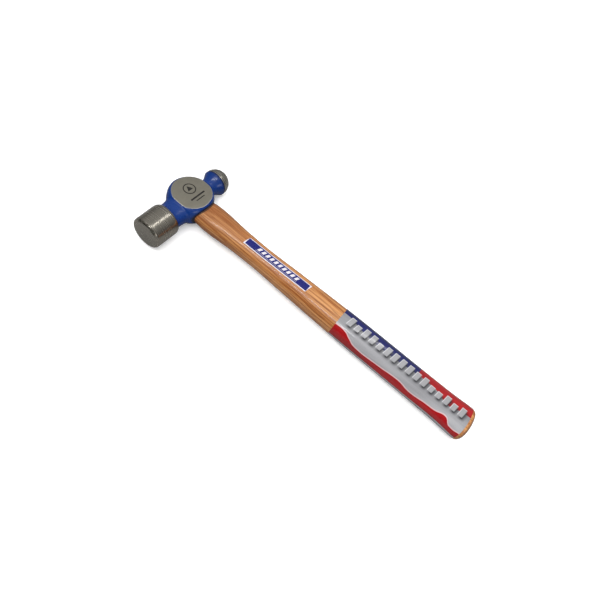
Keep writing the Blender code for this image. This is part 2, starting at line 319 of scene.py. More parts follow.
def add_mesh(name, bm):
    mesh = bpy.data.meshes.new(name)
    bm.to_mesh(mesh)
    bm.free()
    return add_object(name, mesh)


def make_piece(name, bm):
    """A new object from a mesh built round the eye, carried to the frame. Its origin stays at the world's."""
    bmesh.ops.translate(bm, vec=EYE, verts=bm.verts)
    return add_mesh(name, bm)


def cut(obj, bm):
    """Cuts the shape in bm out of obj for good."""
    cutter = make_piece("cutter", bm)
    modifier = obj.modifiers.new("cut", "BOOLEAN")
    modifier.operation = "DIFFERENCE"
    modifier.solver = "EXACT"
    modifier.object = cutter
    graph = bpy.context.evaluated_depsgraph_get()
    mesh = bpy.data.meshes.new_from_object(obj.evaluated_get(graph))
    obj.modifiers.clear()
    obj.data = mesh
    bpy.data.objects.remove(cutter)


def shade_round(obj):
    obj.data.shade_smooth()
    obj.data.set_sharp_from_angle(angle=CREASE)


# ---------------------------------------------------------------- head


def wave(turn, size):
    """A slow unevenness round a ring, as of a masked paint edge."""
    return size * (0.6 * math.sin(3 * turn + 1.0) + 0.4 * math.sin(7 * turn + 2.0))


def round_ring(y, radius):
    return [(x, y, z) for x, z in oval(radius, radius, 2, HEAD_SIDES)]


def poll_face_rings():
    rings = []
    for radius in steps(INNERMOST_RADIUS, FACE_FLAT_RADIUS, 6):
        rings.append(round_ring(FACE_Y - FACE_CROWN, radius))
    for radius in steps(FACE_FLAT_RADIUS, FACE_RADIUS, 10)[1:]:
        rise = (radius**2 - FACE_FLAT_RADIUS**2) / (FACE_RADIUS**2 - FACE_FLAT_RADIUS**2)
        rings.append(round_ring(FACE_Y - FACE_CROWN * (1 - rise), radius))
    for degrees in steps(0, 90, 12)[1:]:
        turn = math.radians(degrees)
        radius = FACE_RADIUS + (POLL_FRONT_RADIUS - FACE_RADIUS) * math.sin(turn)
        rings.append(round_ring(FACE_Y + FACE_BEVEL * (1 - math.cos(turn)), radius))
    return rings


def shoulder_ring(degrees, unevenness=0.0):
    """A ring on the barrel's rounded back."""
    ring = []
    start = POLL_BACK_Y - POLL_SHOULDER_LENGTH
    for side in range(HEAD_SIDES):
        around = 2 * math.pi * side / HEAD_SIDES
        turn = math.radians(degrees + wave(around, unevenness))
        radius = POLL_RADIUS - POLL_SHOULDER_DEPTH * (1 - math.cos(turn))
        y = start + POLL_SHOULDER_LENGTH * math.sin(turn)
        ring.append((radius * math.cos(around), y, radius * math.sin(around)))
    return ring


def poll_barrel_rings():
    front, back = FACE_Y + FACE_BEVEL, POLL_BACK_Y - POLL_SHOULDER_LENGTH
    rings = []
    for share in steps(0, 1, 12)[1:-1]:
        radius = POLL_FRONT_RADIUS + (POLL_RADIUS - POLL_FRONT_RADIUS) * share
        rings.append(round_ring(front + (back - front) * share, radius))
    rings += [shoulder_ring(degrees) for degrees in steps(0, 45, 9)]
    rings.append(shoulder_ring(POLL_PAINT_TURN, unevenness=POLL_PAINT_WAVE))
    rings += [shoulder_ring(degrees) for degrees in steps(55, 90, 7)]
    return rings


def cheek_rings():
    """The waisted neck, the forged disc of the cheek and the slim neck of the ball."""
    rings = []
    for y in steps(POLL_BACK_Y + 0.4 * MM, BALL_NECK_END_Y, 150):
        neck_x, half_z, power = smooth_between(NECK_STATIONS, y)
        disc_x = math.sqrt(max(CHEEK_RADIUS**2 - y**2, 0))
        half_x = (neck_x**BLEND_POWER + disc_x**BLEND_POWER) ** (1 / BLEND_POWER)
        shift = CHEEK_CENTRE_X * (half_x - neck_x) / (CHEEK_RADIUS - neck_x)
        rings.append([(x + shift, y, z) for x, z in oval(half_x, half_z, power, HEAD_SIDES)])
    return rings


def ball_rim_ring(degrees, unevenness=0.0):
    """A ring on the rounded rim between the ball's flared back and its dome."""
    ring = []
    for side in range(HEAD_SIDES):
        around = 2 * math.pi * side / HEAD_SIDES
        turn = math.radians(degrees + wave(around, unevenness))
        radius = BALL_RIM_RADIUS + (BALL_RADIUS - BALL_RIM_RADIUS) * math.sin(turn)
        y = BALL_RIM_Y + (BALL_CENTRE_Y - BALL_RIM_Y) * (1 - math.cos(turn))
        ring.append((radius * math.cos(around), y, radius * math.sin(around)))
    return ring


def ball_rings():
    rings = []
    for share in steps(0, 1, 24)[1:]:
        radius = BALL_NECK_RADIUS + (BALL_RIM_RADIUS - BALL_NECK_RADIUS) * share**BALL_FLARE_POWER
        rings.append(round_ring(BALL_NECK_END_Y + (BALL_RIM_Y - BALL_NECK_END_Y) * share, radius))
    rings += [ball_rim_ring(degrees) for degrees in steps(0, 70, 8)[1:]]
    rings.append(ball_rim_ring(BALL_PAINT_TURN, unevenness=BALL_PAINT_WAVE))
    rings += [ball_rim_ring(degrees) for degrees in (82, 86, 90)]
    for degrees in steps(0, 89, 36)[1:]:
        turn = math.radians(degrees)
        rings.append(round_ring(BALL_CENTRE_Y + BALL_RADIUS * math.sin(turn), BALL_RADIUS * math.cos(turn)))
    return rings


def grind_flat(bm, side):
    """Takes off what stands above the cheek's flat on this side, and rounds the new edge a little."""
    reach = [
        face
        for face in bm.faces
        if CHEEK_FLAT_START_Y < face.calc_center_median().y < CHEEK_FLAT_END_Y
        and face.calc_center_median().z * side > 0
    ]
    geometry = reach + unique(e for f in reach for e in f.edges) + unique(v for f in reach for v in f.verts)
    made = bmesh.ops.bisect_plane(
        bm,
        geom=geometry,
        dist=FLAT_SNAP,
        plane_co=(0, 0, side * CHEEK_FLAT_Z),
        plane_no=(0, 0, side),
        clear_outer=True,
    )
    rim = [item for item in made["geom_cut"] if isinstance(item, bmesh.types.BMVert)]
    for vert in rim:
        vert.co.z = side * CHEEK_FLAT_Z
    bmesh.ops.remove_doubles(bm, verts=rim, dist=FLAT_WELD)
    rim_edges = [edge for edge in bm.edges if edge.is_boundary]
    filled = bmesh.ops.holes_fill(bm, edges=rim_edges, sides=0)
    bmesh.ops.bevel(
        bm,
        geom=unique(edge for face in filled["faces"] for edge in face.edges),
        offset=EDGE_ROUND,
        segments=3,
        profile=0.5,
        affect="EDGES",
        clamp_overlap=False,
    )


def prism(outline, low, high):
    """A closed prism over an outline of (x, y) points."""
    return loft([[(x, y, z) for x, y in outline] for z in (low, high)])


def ring_prism(centre, outer, inner, low, high):
    bm = bmesh.new()
    loops = []
    for radius, z in ((outer, low), (outer, high), (inner, high), (inner, low)):
        points = oval(radius, radius, 2, MARK_RING_SIDES)
        loops.append([bm.verts.new((centre[0] + x, centre[1] + y, z)) for x, y in points])
    for first, second in zip(loops, loops[1:] + loops[:1]):
        for i in range(MARK_RING_SIDES):
            j = (i + 1) % MARK_RING_SIDES
            bm.faces.new((first[i], first[j], second[j], second[i]))
    bmesh.ops.recalc_face_normals(bm, faces=bm.faces)
    return bm


def pill(centre, half_length, half_width):
    """The outline of a bar along Y with round ends."""
    points = []
    for end in (1, -1):
        for degrees in steps(0, 180, 12):
            turn = math.radians(degrees if end > 0 else degrees + 180)
            x = centre[0] + half_width * math.cos(turn)
            y = centre[1] + end * (half_length - half_width) + half_width * math.sin(turn)
            points.append((x, y))
    return points


def stamp_mark(head):
    """A plain mark sunk in the upper flat: a ring with a triangle in it, and two bars."""
    low, high = CHEEK_FLAT_Z - MARK_DEPTH, CHEEK_FLAT_Z + 2 * MM
    cut(head, ring_prism((MARK_RING_X, MARK_Y), MARK_RING_OUTER, MARK_RING_INNER, low, high))
    corners = []
    for degrees in (180, 300, 60):
        turn = math.radians(degrees)
        x = MARK_RING_X + MARK_TRIANGLE_REACH * math.cos(turn)
        corners.append((x, MARK_Y + MARK_TRIANGLE_REACH * math.sin(turn)))
    cut(head, prism(corners, low, high))
    for x, half_length, half_width in MARK_BARS:
        cut(head, prism(pill((x * MM, MARK_Y), half_length * MM, half_width * MM), low, high))


def round_eye_rims(head):
    """Breaks the sharp edges where the eye comes out of the cheek."""
    bm = bmesh.new()
    bm.from_mesh(head.data)
    bmesh.ops.translate(bm, vec=-EYE, verts=bm.verts)
    rims = []
    for edge in bm.edges:
        middle = (edge.verts[0].co + edge.verts[1].co) / 2
        outside = abs(middle.x) > EYE_RIM_REACH and abs(middle.z) < CHEEK_FLAT_Z - EDGE_ROUND
        if outside and len(edge.link_faces) == 2 and edge.calc_face_angle(0) > EYE_RIM_TURN:
            rims.append(edge)
    bmesh.ops.remove_doubles(bm, verts=unique(v for e in rims for v in e.verts), dist=EYE_WELD)
    rims = [edge for edge in rims if edge.is_valid]
    bmesh.ops.bevel(
        bm,
        geom=rims,
        offset=EYE_ROUND,
        segments=3,
        profile=0.5,
        affect="EDGES",
        clamp_overlap=False,
    )
    bmesh.ops.translate(bm, vec=EYE, verts=bm.verts)
    bm.to_mesh(head.data)
    bm.free()


def poll_paint_y():
    return POLL_BACK_Y - POLL_SHOULDER_LENGTH * (1 - math.sin(math.radians(POLL_PAINT_TURN)))


def ball_paint_y():
    return BALL_RIM_Y + (BALL_CENTRE_Y - BALL_RIM_Y) * (1 - math.cos(math.radians(BALL_PAINT_TURN)))


def head_slot(centre, normal):
    """Which of the head's materials a face takes, by its place and the way it faces."""
    if centre.y < poll_paint_y():
        return POLL_SLOT
    if centre.y > ball_paint_y():
        return BALL_SLOT
    if CHEEK_FLAT_START_Y < centre.y < CHEEK_FLAT_END_Y:
        height = abs(centre.z)
        if height > CHEEK_FLAT_Z - SURFACE_SLACK and abs(normal.z) > 0.5:
            return CHEEK_SLOT
        in_field = abs(centre.x) < MARK_FIELD_X and abs(centre.y - MARK_Y) < MARK_FIELD_Y
        if in_field and height > CHEEK_FLAT_Z - MARK_DEPTH - SURFACE_SLACK:
            return MARK_SLOT
    return PAINT_SLOT


def make_head():
    bm = loft(poll_face_rings() + poll_barrel_rings() + cheek_rings() + ball_rings())
    grind_flat(bm, 1)
    grind_flat(bm, -1)
    head = make_piece("forged_head", bm)
    cut(head, loft([handle_ring(x, FIT) for x in steps(-EYE_CUT_REACH, EYE_CUT_REACH, 60)]))
    stamp_mark(head)
    round_eye_rims(head)
    for make in (paint_material, poll_material, cheek_material, ball_material, mark_material):
        head.data.materials.append(make())
    for face in head.data.polygons:
        face.material_index = head_slot(face.center - EYE, face.normal)
    shade_round(head)
    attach(head, "root")
    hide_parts("hammer_head")


# ---------------------------------------------------------------- handle, wedges, label and sleeve


def handle_size(x):
    return smooth_between(HANDLE_STATIONS, x)


def handle_oval(half_y, half_z):
    return oval(half_y, half_z, OVAL_POWER, HANDLE_SIDES)


def handle_ring(x, extra=0.0):
    half_y, half_z = handle_size(x)
    return [(x, y, z) for y, z in handle_oval(half_y + extra, half_z + extra)]


def ground_top_x(y):
    """Where the wedged end is ground flush to the round of the head."""
    return CHEEK_CENTRE_X - math.sqrt(GROUND_TOP_RADIUS**2 - y**2)


def tongue_rings():
    """Rings from the middle of the ground end, out to its rim and along the tongue to the shoulder."""
    rings = []
    rim_half_y, rim_half_z = handle_size(TONGUE_RIM_X)
    for scale in steps(INNERMOST_SCALE, 1, 12):
        section = handle_oval(rim_half_y * scale, rim_half_z * scale)
        rings.append([(ground_top_x(y), y, z) for y, z in section])
    for share in steps(0, 1, 16)[1:]:
        section = handle_oval(*handle_size(TONGUE_RIM_X + (TONGUE_STRAIGHT_X - TONGUE_RIM_X) * share))
        rings.append([(ground_top_x(y) * (1 - share) + TONGUE_STRAIGHT_X * share, y, z) for y, z in section])
    return rings


def butt_rings():
    """The rounded rim of the butt and its nearly flat end."""
    rings = []
    half_y, half_z = handle_size(BUTT_ROUND_X)
    for degrees in steps(0, 90, 14)[1:]:
        turn = math.radians(degrees)
        inset = BUTT_INSET * (1 - math.cos(turn))
        x = BUTT_ROUND_X + (BUTT_X - BUTT_ROUND_X) * math.sin(turn)
        rings.append([(x, y, z) for y, z in handle_oval(half_y - inset, half_z - inset)])
    for scale in steps(1, INNERMOST_SCALE, 10)[1:]:
        section = handle_oval((half_y - BUTT_INSET) * scale, (half_z - BUTT_INSET) * scale)
        rings.append([(BUTT_X, y, z) for y, z in section])
    return rings


def taper_block(top_x, tip_x, top_half, tip_half, half_width, across_z):
    """A wedge tapering from top_x to tip_x. It is thin along Y where across_z is true, and else along Z."""
    rings = []
    for x, half in ((top_x, top_half), (tip_x, tip_half)):
        u, v = (half, half_width) if across_z else (half_width, half)
        rings.append([(x, -u, -v), (x, u, -v), (x, u, v), (x, -u, v)])
    return loft(rings)


def make_handle():
    places = steps(TONGUE_STRAIGHT_X, SHOULDER_END_X, 60)[1:] + steps(SHOULDER_END_X, BUTT_ROUND_X, 180)[1:]
    bm = loft(tongue_rings() + [handle_ring(x) for x in places] + butt_rings())
    handle = make_piece("hickory_handle", bm)
    kerf = taper_block(
        WEDGE_TOP_X,
        KERF_BOTTOM_X,
        WOOD_WEDGE_TOP_HALF + KERF_GAP,
        WOOD_WEDGE_TIP_HALF + KERF_GAP,
        KERF_REACH,
        False,
    )
    cut(handle, kerf)
    for side in (-1, 1):
        slot = taper_block(
            WEDGE_TOP_X,
            STEEL_WEDGE_TIP_X + KERF_GAP,
            STEEL_WEDGE_TOP_HALF + KERF_GAP,
            STEEL_WEDGE_TIP_HALF + KERF_GAP,
            STEEL_WEDGE_HALF_WIDTH + KERF_GAP,
            True,
        )
        bmesh.ops.translate(slot, vec=(0, side * STEEL_WEDGE_Y, 0), verts=slot.verts)
        cut(handle, slot)
    handle.data.materials.append(hickory_material())
    shade_round(handle)
    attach(handle, "root")
    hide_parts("handle")


def film(name, grid, wrap, thickness):
    """A thin closed film over a grid of points: grid(lift) gives rows of points that far off the wood."""
    inner, outer = grid(FILM_LIFT), grid(FILM_LIFT + thickness)
    bm = bmesh.new()
    low = [[bm.verts.new(point) for point in row] for row in inner]
    high = [[bm.verts.new(point) for point in row] for row in outer]
    count = len(low[0])
    last = count if wrap else count - 1
    for rows in (low, high):
        for first, second in zip(rows, rows[1:]):
            for i in range(last):
                j = (i + 1) % count
                bm.faces.new((first[i], first[j], second[j], second[i]))
    for i in range(last):
        j = (i + 1) % count
        bm.faces.new((low[0][i], low[0][j], high[0][j], high[0][i]))
        bm.faces.new((low[-1][i], low[-1][j], high[-1][j], high[-1][i]))
    if not wrap:
        for (first, second), (third, fourth) in zip(zip(low, low[1:]), zip(high, high[1:])):
            bm.faces.new((first[0], second[0], fourth[0], third[0]))
            bm.faces.new((first[-1], second[-1], fourth[-1], third[-1]))
    bmesh.ops.recalc_face_normals(bm, faces=bm.faces)
    return make_piece(name, bm)


def label_grid(lift):
    rows = []
    for middle_x in steps(LABEL_START_X, LABEL_END_X, 80):
        row = []
        for across in steps(-1, 1, 16):
            x = middle_x + across * LABEL_HALF_WIDTH * LABEL_SLANT
            y = LABEL_CENTRE_Y + across * LABEL_HALF_WIDTH
            half_y, half_z = handle_size(x)
            height = half_z * (1 - (abs(y) / half_y) ** OVAL_POWER) ** (1 / OVAL_POWER)
            row.append((x, y, height + lift))
        rows.append(row)
    return rows


def sleeve_grid(lift):
    return [handle_ring(x, lift) for x in steps(SLEEVE_START_X, SLEEVE_END_X, 110)]


def make_films():
    label = film("printed_label", label_grid, False, LABEL_THICKNESS)
    label.data.materials.append(label_material())
    sleeve = film("printed_sleeve", sleeve_grid, True, SLEEVE_THICKNESS)
    sleeve.data.materials.append(sleeve_material())
    for piece, node, slot in ((label, "handle_label", "label_print"), (sleeve, "grip_sleeve", "printed_film")):
        shade_round(piece)
        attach(piece, "root")
        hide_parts(node)


def dress_wedges():
    """The wedges keep their shapes from the frame and take the finer materials."""
    wood, steel = wedge_wood_material(), wedge_steel_material()
    for name, material in (
        ("wooden_wedge", wood),
        ("steel_wedge_face_side", steel),
        ("steel_wedge_peen_side", steel),
    ):
        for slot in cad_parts[name].material_slots:
            slot.link = "OBJECT"
            slot.material = material


# ---------------------------------------------------------------- materials


class Look:
    """A material's node tree, with short ways to add to it. Places in it are millimetres from the eye."""

    def __init__(self, name):
        self.material = bpy.data.materials.new(name)
        self.material.use_nodes = True
        self.tree = self.material.node_tree
        self.shader = self.tree.nodes["Principled BSDF"]
        place = self.node("ShaderNodeTexCoord").outputs["Object"]
        place = self.vector("SUBTRACT", place, EYE)
        self.place = self.vector("MULTIPLY", place, (1 / MM, 1 / MM, 1 / MM))
        self.x, self.y, self.z = self.split(self.place)

    def put(self, socket, value):
        if isinstance(value, bpy.types.NodeSocket):
            self.tree.links.new(value, socket)
        elif socket.type == "RGBA" and len(value) == 3:
            socket.default_value = (*value, 1.0)
        else:
            socket.default_value = value

    def node(self, kind, settings=None, inputs=None):
        node = self.tree.nodes.new(kind)
        for name, value in (settings or {}).items():
            setattr(node, name, value)
        for name, value in (inputs or {}).items():
            self.put(node.inputs[name], value)
        return node

    def math(self, operation, a, b=0.0, c=0.0):
        return self.node("ShaderNodeMath", {"operation": operation}, {0: a, 1: b, 2: c}).outputs[0]

    def plus(self, a, b):
        return self.math("ADD", a, b)

    def minus(self, a, b):
        return self.math("SUBTRACT", a, b)

    def times(self, a, b):
        return self.math("MULTIPLY", a, b)

    def ratio(self, a, b):
        return self.math("DIVIDE", a, b)

    def scaled(self, value, factor, offset):
        """The value times the factor, plus the offset."""
        return self.math("MULTIPLY_ADD", value, factor, offset)

    def absolute(self, value):
        return self.math("ABSOLUTE", value)

    def vector(self, operation, a, b):
        return self.node("ShaderNodeVectorMath", {"operation": operation}, {0: a, 1: b}).outputs[0]

    def split(self, vector):
        return self.node("ShaderNodeSeparateXYZ", None, {0: vector}).outputs

    def join(self, x, y, z):
        return self.node("ShaderNodeCombineXYZ", None, {0: x, 1: y, 2: z}).outputs[0]

    def smooth(self, value, low, high, start=0.0, end=1.0):
        """Goes from start at low to end at high, smoothly."""
        settings = {"interpolation_type": "SMOOTHSTEP"}
        inputs = {"Value": value, "From Min": low, "From Max": high, "To Min": start, "To Max": end}
        return self.node("ShaderNodeMapRange", settings, inputs).outputs[0]

    def fade(self, value, low, high):
        """Goes from 1 at low to 0 at high, smoothly."""
        return self.smooth(value, low, high, 1.0, 0.0)

    def band(self, value, low, high, soft):
        """1 from low to high and 0 outside, each end spread over a soft step that starts there."""
        return self.times(self.smooth(value, low, low + soft), self.fade(value, high, high + soft))

    def curve(self, value, points):
        """A smooth line through (value, height) points; both run from 0 to 1."""
        node = self.node("ShaderNodeFloatCurve", None, {"Value": value})
        line = node.mapping.curves[0].points
        line[0].location = points[0]
        line[-1].location = points[-1]
        for place, height in points[1:-1]:
            line.new(place, height)
        node.mapping.update()
        return node.outputs[0]

    def mix(self, share, a, b, blend="MIX"):
        settings = {"data_type": "RGBA", "blend_type": blend}
        return self.node("ShaderNodeMix", settings, {0: share, 6: a, 7: b}).outputs[2]

    def noise_at(self, place, detail=2.0, roughness=0.5):
        inputs = {"Vector": place, "Scale": 1.0, "Detail": detail, "Roughness": roughness}
        return self.node("ShaderNodeTexNoise", None, inputs).outputs["Fac"]

    def noise(self, stretch, detail=2.0, roughness=0.5):
        """Noise with this many repeats per millimetre along X, Y and Z."""
        return self.noise_at(self.vector("MULTIPLY", self.place, stretch), detail, roughness)

    def length(self, a, b):
        return self.math("SQRT", self.plus(self.times(a, a), self.times(b, b)))

    def bump(self, height, depth, under=None):
        """Relief of this depth in millimetres."""
        inputs = {"Height": height, "Distance": depth * MM, "Strength": 1.0}
        if under:
            inputs["Normal"] = under
        return self.node("ShaderNodeBump", None, inputs).outputs[0]

    def finish(self, **inputs):
        for name, value in inputs.items():
            self.put(self.shader.inputs[name.replace("_", " ").title().replace("Ior", "IOR")], value)
        return self.material


def steel_look(name, lines, tone, rough, painted_reflection=None):
    """Bare steel with fine lines left by the tool.

    lines(look) gives their pattern, and the last function, when given, where a dark reflection is painted on;
    both from 0 to 1.
    """
    look = Look(name)
    line = look.smooth(lines(look), 0.28, 0.72)
    cloud = look.noise((0.12, 0.12, 0.12), detail=4.0, roughness=0.6)
    speck = look.noise((1.6, 1.6, 1.6), detail=3.0)
    shade = look.scaled(line, 0.24, look.scaled(cloud, 0.5, 0.13))
    colour = look.mix(shade, [c * 0.74 for c in tone], [c * 1.22 for c in tone])
    pits = look.smooth(speck, 0.66, 0.74)
    colour = look.mix(look.times(pits, 0.45), colour, [c * 0.45 for c in tone])
    roughness = look.scaled(line, 0.06, rough - 0.03)
    roughness = look.scaled(cloud, 0.07, roughness)
    # Painted reflection: where the mask says, the steel is darkened as a dark reflection would darken it.
    if painted_reflection:
        reflection_share = painted_reflection(look)
        colour = look.mix(look.times(reflection_share, 0.75), colour, (0.035, 0.033, 0.022))
        roughness = look.scaled(reflection_share, 0.3, roughness)
    normal = look.bump(line, 0.0012)
    return look.finish(base_color=colour, metallic=1.0, roughness=roughness, normal=normal)


def turned_lines(look):
    """Rings round the poll's axis: lathe lines along the barrel, and circles on the face."""
    reach = look.length(look.x, look.z)
    along = look.plus(look.y, look.times(reach, 1.7))
    place = look.join(look.times(along, 0.9), look.times(look.x, 0.012), 0.0)
    return look.noise_at(place, detail=4.0, roughness=0.62)


def painted_poll_reflection(look):
    """A painted dark reflection on the poll's front rim, near the top, in two parts with a clean gap between
    them.
    """
    reach = look.length(look.x, look.z)
    turn = look.math("DEGREES", look.math("ARCTAN2", look.x, look.z))
    patch = look.noise((0.5, 0.5, 0.5), detail=3.0)
    rim = look.times(look.fade(look.y, -62.9, -62.1), look.smooth(reach, 14.4, 15.1))
    upper = look.fade(look.absolute(look.minus(turn, 6.0)), 34.0, 50.0)
    gap = look.smooth(look.absolute(look.minus(turn, 18.0)), 3.0, 6.0)
    painted_reflection = look.times(look.times(rim, upper), gap)
    return look.times(painted_reflection, look.smooth(patch, 0.35, 0.62, 0.25, 1.0))


def poll_material():
    return steel_look("poll_steel", turned_lines, tone=(0.37, 0.345, 0.295), rough=0.22, painted_reflection=painted_poll_reflection)


def ball_material():
    return steel_look("ball_steel", turned_lines, tone=(0.37, 0.355, 0.315), rough=0.24)


def ground_lines(look):
    return look.noise((4.5, 0.22, 0.3), detail=4.0, roughness=0.65)


def cheek_material():
    return steel_look("cheek_steel", ground_lines, tone=(0.42, 0.395, 0.325), rough=0.4)


def mark_material():
    """The floor of the stamped mark, dark with old ink and scale."""
    look = Look("stamped_mark")
    grain = look.noise((2.2, 2.2, 2.2), detail=4.0)
    colour = look.mix(grain, (0.006, 0.006, 0.006), (0.035, 0.032, 0.028))
    normal = look.bump(grain, 0.04)
    return look.finish(base_color=colour, metallic=0.3, roughness=0.62, normal=normal)


def paint_material():
    """Glossy blue paint over forged steel.

    It is chipped to the metal along the ground edges, and carries painted shade at the ball's border and round
    the eye.
    """
    look = Look("blue_paint")
    forged = look.noise((0.35, 0.35, 0.35), detail=5.0, roughness=0.55)
    peel = look.noise((2.4, 2.4, 2.4), detail=2.0)
    cloud = look.noise((0.07, 0.07, 0.07), detail=3.0)
    colour = look.mix(cloud, (0.002, 0.021, 0.130), (0.003, 0.032, 0.180))
    border = ball_paint_y() / MM
    # Painted shade: the paint in the last millimetres before the ball's steel is darkened for the shade of the
    # rim's corner.
    painted_shade = look.smooth(look.y, border - 2.4, border - 1.1)
    colour = look.mix(look.times(painted_shade, 0.85), colour, (0.003, 0.006, 0.030))
    height = look.absolute(look.z)
    flat = CHEEK_FLAT_Z / MM
    near_flat = look.smooth(height, flat - 0.9, flat + 0.1)
    on_cheek = look.fade(look.absolute(look.y), 24.0, 26.0)
    near_flat = look.times(near_flat, on_cheek)
    chip_noise = look.noise((1.1, 1.1, 1.1), detail=5.0, roughness=0.7)
    chips = look.smooth(look.plus(chip_noise, look.times(near_flat, 0.19)), 0.72, 0.75)
    rim_noise = look.scaled(chip_noise, 0.3, height)
    rim = look.smooth(rim_noise, flat - 0.12, flat - 0.04)
    chips = look.math("MAXIMUM", chips, look.times(rim, on_cheek))
    colour = look.mix(chips, colour, (0.46, 0.45, 0.42))
    # Painted shade round the eye, where the handle goes in: the paint there is darkened for the shaded
    # underside of the disc's edge.
    eye_y = look.math("POWER", look.absolute(look.ratio(look.y, 15.5)), OVAL_POWER)
    eye_z = look.math("POWER", look.absolute(look.ratio(look.z, 9.7)), OVAL_POWER)
    from_eye = look.fade(look.plus(eye_y, eye_z), 1.10, 1.62)
    painted_eye_shade = look.times(from_eye, look.smooth(look.absolute(look.x), 15.0, 17.0))
    colour = look.mix(look.times(painted_eye_shade, 0.9), colour, (0.004, 0.004, 0.008))
    roughness = look.scaled(peel, 0.12, 0.20)
    roughness = look.scaled(chips, 0.15, roughness)
    normal = look.bump(forged, 0.09)
    normal = look.bump(peel, 0.02, normal)
    return look.finish(
        base_color=colour,
        metallic=chips,
        roughness=roughness,
        normal=normal,
        specular_ior_level=0.35,
        coat_weight=0.1,
        coat_roughness=0.10,
    )


def wood_look(name, tones, spacing, rough, coat):
    """Straight-grained wood: growth rings round a far pith, and fibres and pores along X.

    The tones go from dark to light, and the rings are spacing millimetres apart. The wood is darker near the
    head, with a line of painted shade against it, and brown where the grain ends.
    """
    look = Look(name)
    dark, middle, light = tones
    wander = look.noise((0.007, 0.05, 0.05), detail=3.0, roughness=0.55)
    wander = look.scaled(wander, 11.0, look.times(look.x, 0.012))
    pith_y = look.plus(look.y, 44.0)
    pith_z = look.plus(look.z, 19.0)
    reach = look.plus(look.length(pith_y, pith_z), wander)
    ring = look.math("FRACT", look.ratio(reach, spacing))
    early = look.minus(1.0, look.smooth(ring, 0.0, 0.45))
    strength = look.noise((0.004, 0.22, 0.22), detail=1.0)
    early = look.times(early, look.smooth(strength, 0.35, 0.62))
    late = look.smooth(ring, 0.72, 1.0)
    broad = look.smooth(look.noise((0.005, 0.16, 0.16), detail=2.0), 0.33, 0.67)
    fibre = look.smooth(look.noise((0.012, 0.62, 0.62), detail=5.0, roughness=0.62), 0.36, 0.66)
    pores = look.smooth(look.noise((0.10, 3.6, 3.6), detail=3.0), 0.57, 0.66)
    pores = look.times(pores, look.scaled(early, 0.7, 0.3))
    lightness = look.scaled(fibre, 0.85, look.scaled(broad, 0.5, -0.2))
    colour = look.mix(lightness, middle, light)
    colour = look.mix(look.times(early, 0.75), colour, dark)
    colour = look.mix(look.times(late, 0.5), colour, light)
    colour = look.mix(look.times(pores, 0.55), colour, [c * 0.5 for c in dark])
    # Darker towards the head, fading out by 110 mm from the eye.
    darker_near_head = look.smooth(look.x, 35.0, 110.0, 0.34, 0.0)
    colour = look.mix(darker_near_head, colour, dark)
    # Painted shade: a dark line on the wood where it meets the head, for the shade in the joint.
    cheek_x = look.minus(look.x, CHEEK_CENTRE_X / MM)
    from_head = look.minus(look.length(cheek_x, look.y), CHEEK_RADIUS / MM)
    painted_shade = look.times(look.smooth(from_head, 0.1, 0.9, 0.85, 0.0), look.smooth(look.x, 0.0, 5.0))
    colour = look.mix(painted_shade, colour, (0.012, 0.007, 0.006))
    facing = look.split(look.node("ShaderNodeNewGeometry").outputs["Normal"])[0]
    end_grain = look.smooth(look.absolute(facing), 0.25, 0.65)
    colour = look.mix(look.times(end_grain, 0.75), colour, (0.14, 0.068, 0.030))
    relief = look.minus(look.times(fibre, 0.4), pores)
    roughness = look.scaled(fibre, 0.12, rough - 0.06)
    roughness = look.scaled(pores, 0.2, roughness)
    return look.finish(
        base_color=colour,
        roughness=roughness,
        normal=look.bump(relief, 0.025),
        specular_ior_level=0.3,
        coat_weight=coat,
        coat_roughness=0.18,
    )


def hickory_material():
    tones = ((0.140, 0.036, 0.006), (0.265, 0.080, 0.015), (0.54, 0.250, 0.082))
    return wood_look("lacquered_hickory", tones, spacing=2.6, rough=0.42, coat=0.5)


def wedge_wood_material():
    tones = ((0.30, 0.15, 0.06), (0.45, 0.27, 0.12), (0.62, 0.42, 0.22))
    return wood_look("wedge_wood", tones, spacing=1.2, rough=0.55, coat=0.0)


def wedge_lines(look):
    return look.noise((0.5, 3.0, 1.2), detail=4.0, roughness=0.7)


def wedge_steel_material():
    return steel_look("wedge_steel", wedge_lines, tone=(0.30, 0.28, 0.26), rough=0.45)


